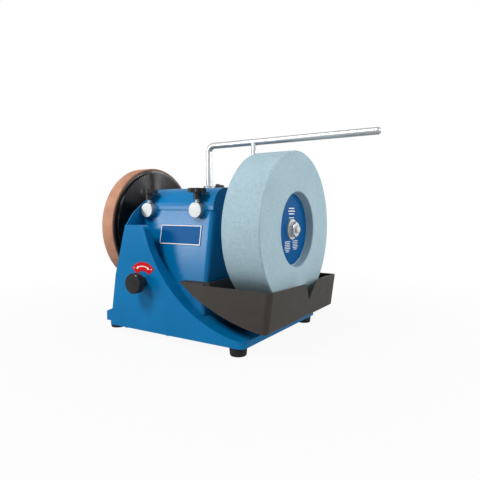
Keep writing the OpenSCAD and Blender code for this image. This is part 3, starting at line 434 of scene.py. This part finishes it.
def plate_border():
    low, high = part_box("front_plate")
    across = Vector((1, 0, 0))
    up = Vector((0, math.sin(FACE_LEAN), math.cos(FACE_LEAN)))
    out = across.cross(up)
    middle = (low + high) / 2 + out * (PLATE_THICKNESS / 2)
    place = Matrix.Translation(middle) @ Matrix((across, up, out)).transposed().to_4x4()
    border = pierced_slab(plate_outline(BORDER_INSET), plate_outline(BORDER_INSET + BORDER_WIDTH))
    ink_piece("plate_border", [border], place, "machine")


# the plain double-headed arrow on the red sector, round the knob's axis
ARROW_RADIUS = 25.6 * MM
ARROW_WIDTH = 1.5 * MM
ARROW_HALF_TURN = math.radians(25)
HEAD_WIDTH = 5.0 * MM
HEAD_TURN = math.radians(10)
HEAD_OVERLAP = math.radians(1)
TIP_INSET = 0.4 * MM
# the minus and the plus beyond its ends
SIGN_RADIUS = 28.6 * MM
SIGN_TURN = math.radians(41)
SIGN_REACH = 1.3 * MM
SIGN_HALF_WIDTH = 0.32 * MM


def arrow_head(side):
    """The head on the left at side -1 or on the right at side 1."""
    tip = polar(ARROW_RADIUS - TIP_INSET, side * (ARROW_HALF_TURN + HEAD_TURN))
    foot_angle = side * (ARROW_HALF_TURN - HEAD_OVERLAP)
    outer = polar(ARROW_RADIUS + HEAD_WIDTH / 2, foot_angle)
    inner = polar(ARROW_RADIUS - HEAD_WIDTH / 2, foot_angle)
    return [outer, inner, tip] if side > 0 else [tip, inner, outer]


def sign_bars(side):
    """A minus on the left, and on the right the three bars of a plus."""
    x, y = polar(SIGN_RADIUS, side * SIGN_TURN)
    reach, thin = SIGN_REACH, SIGN_HALF_WIDTH
    bars = [rectangle(x - reach, y - thin, x + reach, y + thin)]
    if side > 0:
        bars.append(rectangle(x - thin, y + thin, x + thin, y + reach))
        bars.append(rectangle(x - thin, y - reach, x + thin, y - thin))
    return bars


def dial_arrow():
    low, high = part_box("dial_label")
    knob_low, knob_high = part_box("speed_knob")
    centre = Vector(((knob_low.x + knob_high.x) / 2, low.y, (knob_low.z + knob_high.z) / 2))
    place = Matrix.Translation(centre) @ Matrix.Rotation(math.radians(90), 4, "X")
    shaft = arc(ARROW_RADIUS - ARROW_WIDTH / 2, -ARROW_HALF_TURN, ARROW_HALF_TURN)
    shaft += arc(ARROW_RADIUS + ARROW_WIDTH / 2, ARROW_HALF_TURN, -ARROW_HALF_TURN)
    outlines = [shaft, arrow_head(-1), arrow_head(1)] + sign_bars(-1) + sign_bars(1)
    ink_piece("dial_arrow", [slab(outline) for outline in outlines], place, "machine")


# plain bars on the disc in the stone's recess, with no words; each group has its middle, its top,
# the pitch and the thickness of its bars, and their lengths, in millimetres
PRINT_ROWS = (
    (0, 33, 4.4, 1.6, (20, 24, 20)),
    (0, 18, 3.0, 1.2, (18,)),
    (-14, -20, 2.7, 0.9, (20, 17, 19, 18, 20, 15, 11)),
    (14, -20, 2.7, 0.9, (19, 20, 16, 19, 17, 12)),
)


def stone_print():
    low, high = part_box("stone_label")
    centre = Vector((high.x, (low.y + high.y) / 2, (low.z + high.z) / 2))
    # the disc faces +X, so its own right is +Y and its own up is +Z
    turn = Matrix((Vector((0, 1, 0)), Vector((0, 0, 1)), Vector((1, 0, 0)))).transposed()
    place = Matrix.Translation(centre) @ turn.to_4x4()
    bars = []
    for middle, top, pitch, thickness, lengths in PRINT_ROWS:
        for row, length in enumerate(lengths):
            left = (middle - length / 2) * MM
            foot = (top - row * pitch) * MM
            bars.append(rectangle(left, foot, left + length * MM, foot + thickness * MM))
    ink_piece("stone_print", [slab(bar) for bar in bars], place, "spindle")


plate_border()
dial_arrow()
stone_print()


# ---------- stage ----------

PART_MIDDLE = Vector((0, 0, 0.16))
FLOOR_REACH = 30.0
FLOOR_GREY = 0.52
# the floor's level in reflections
FLOOR_GLOSS = 0.36
# the floor's white rises from this share to all of it between these distances from the middle
FADE_START, FADE_END = 0.25, 0.85
FADE_SHARE = 0.93
WORLD_LEVEL = 0.27
# the reflected studio: its level at a low direction and at a high one, and those directions' heights
GLOSS_LEVELS = (0.80, 0.45)
GLOSS_HEIGHTS = (0.05, 0.60)


def stage_floor():
    """White floor that keeps a soft shadow near the machine and fades to plain white."""
    corners = rectangle(-FLOOR_REACH, -FLOOR_REACH, FLOOR_REACH, FLOOR_REACH)
    mesh = bpy.data.meshes.new("floor")
    mesh.from_pydata([(x, y, 0) for x, y in corners], [], [(0, 1, 2, 3)])
    floor = bpy.data.objects.new("floor", mesh)
    bpy.context.scene.collection.objects.link(floor)
    material = bpy.data.materials.new("floor")
    material.use_nodes = True
    material.node_tree.nodes.clear()
    net = Net(material.node_tree)
    matt = net.add("BsdfDiffuse", {"Color": (FLOOR_GREY, FLOOR_GREY, FLOOR_GREY, 1)})
    rays = net.add("LightPath").outputs
    # plain white to the camera, dimmer in reflections
    glow = net.add("Emission", {"Strength": net.span(rays["Is Glossy Ray"], 1.0, FLOOR_GLOSS)})
    seen = net.math("MAXIMUM", rays["Is Camera Ray"], rays["Is Glossy Ray"])
    seen = net.math("MAXIMUM", seen, rays["Is Transmission Ray"])
    place = net.add("TexCoord").outputs["Object"]
    distance = net.add("VectorMath", {0: place}, operation="LENGTH").outputs["Value"]
    fade = net.span(distance, FADE_SHARE, 1.0, FADE_START, FADE_END)
    share = net.math("MULTIPLY", fade, seen)
    mix = net.add("MixShader", {0: share, 1: matt.outputs[0], 2: glow.outputs[0]})
    net.add("OutputMaterial", {0: mix.outputs[0]})
    mesh.materials.append(material)


def white_world():
    """White to the camera, a grey ramp in reflections and an even dim light for everything else."""
    world = bpy.data.worlds.new("studio")
    bpy.context.scene.world = world
    world.use_nodes = True
    net = Net(world.node_tree)
    rays = net.add("LightPath").outputs
    seen = net.math("MAXIMUM", rays["Is Camera Ray"], rays["Is Transmission Ray"])
    level = net.span(seen, WORLD_LEVEL, 1.0)
    # reflections see a studio that is bright round the sides and dimmer overhead
    direction = net.add("SeparateXYZ", {0: net.add("TexCoord").outputs["Generated"]}).outputs
    studio = net.span(direction["Z"], *GLOSS_LEVELS, *GLOSS_HEIGHTS)
    gloss = net.math("MULTIPLY", rays["Is Glossy Ray"], studio)
    other = net.math("SUBTRACT", 1.0, rays["Is Glossy Ray"])
    plain = net.math("MULTIPLY", level, other)
    background = world.node_tree.nodes["Background"]
    net.set(background, {"Color": (1, 1, 1, 1), "Strength": net.math("ADD", plain, gloss)})


def softbox(name, towards, distance, width, height, level):
    """An area light that gives a facing white surface at the part the brightness level."""
    direction = Vector(towards).normalized()
    data = bpy.data.lights.new(name, "AREA")
    data.shape = "RECTANGLE"
    data.size = width
    data.size_y = height
    data.energy = level * math.pi ** 2 * distance ** 2
    lamp = bpy.data.objects.new(name, data)
    bpy.context.scene.collection.objects.link(lamp)
    lamp.location = PART_MIDDLE + direction * distance
    lamp.rotation_euler = direction.to_track_quat("Z", "Y").to_euler()


add_camera()
stage_floor()
white_world()
# each lamp's direction from the part, its distance, width and height, and its level
softbox("key", (-0.22, -0.66, 0.72), 1.8, 0.45, 0.45, 0.68)
softbox("sheen", (-0.65, -0.73, 0.215), 1.5, 0.46, 0.17, 0.27)
softbox("right_back", (0.62, 0.80, 0.28), 1.6, 0.25, 0.5, 0.18)
softbox("right_rear", (0.95, 0.15, 0.36), 1.6, 0.9, 0.9, 0.54)

scene = bpy.context.scene
scene.view_settings.view_transform = "Standard"
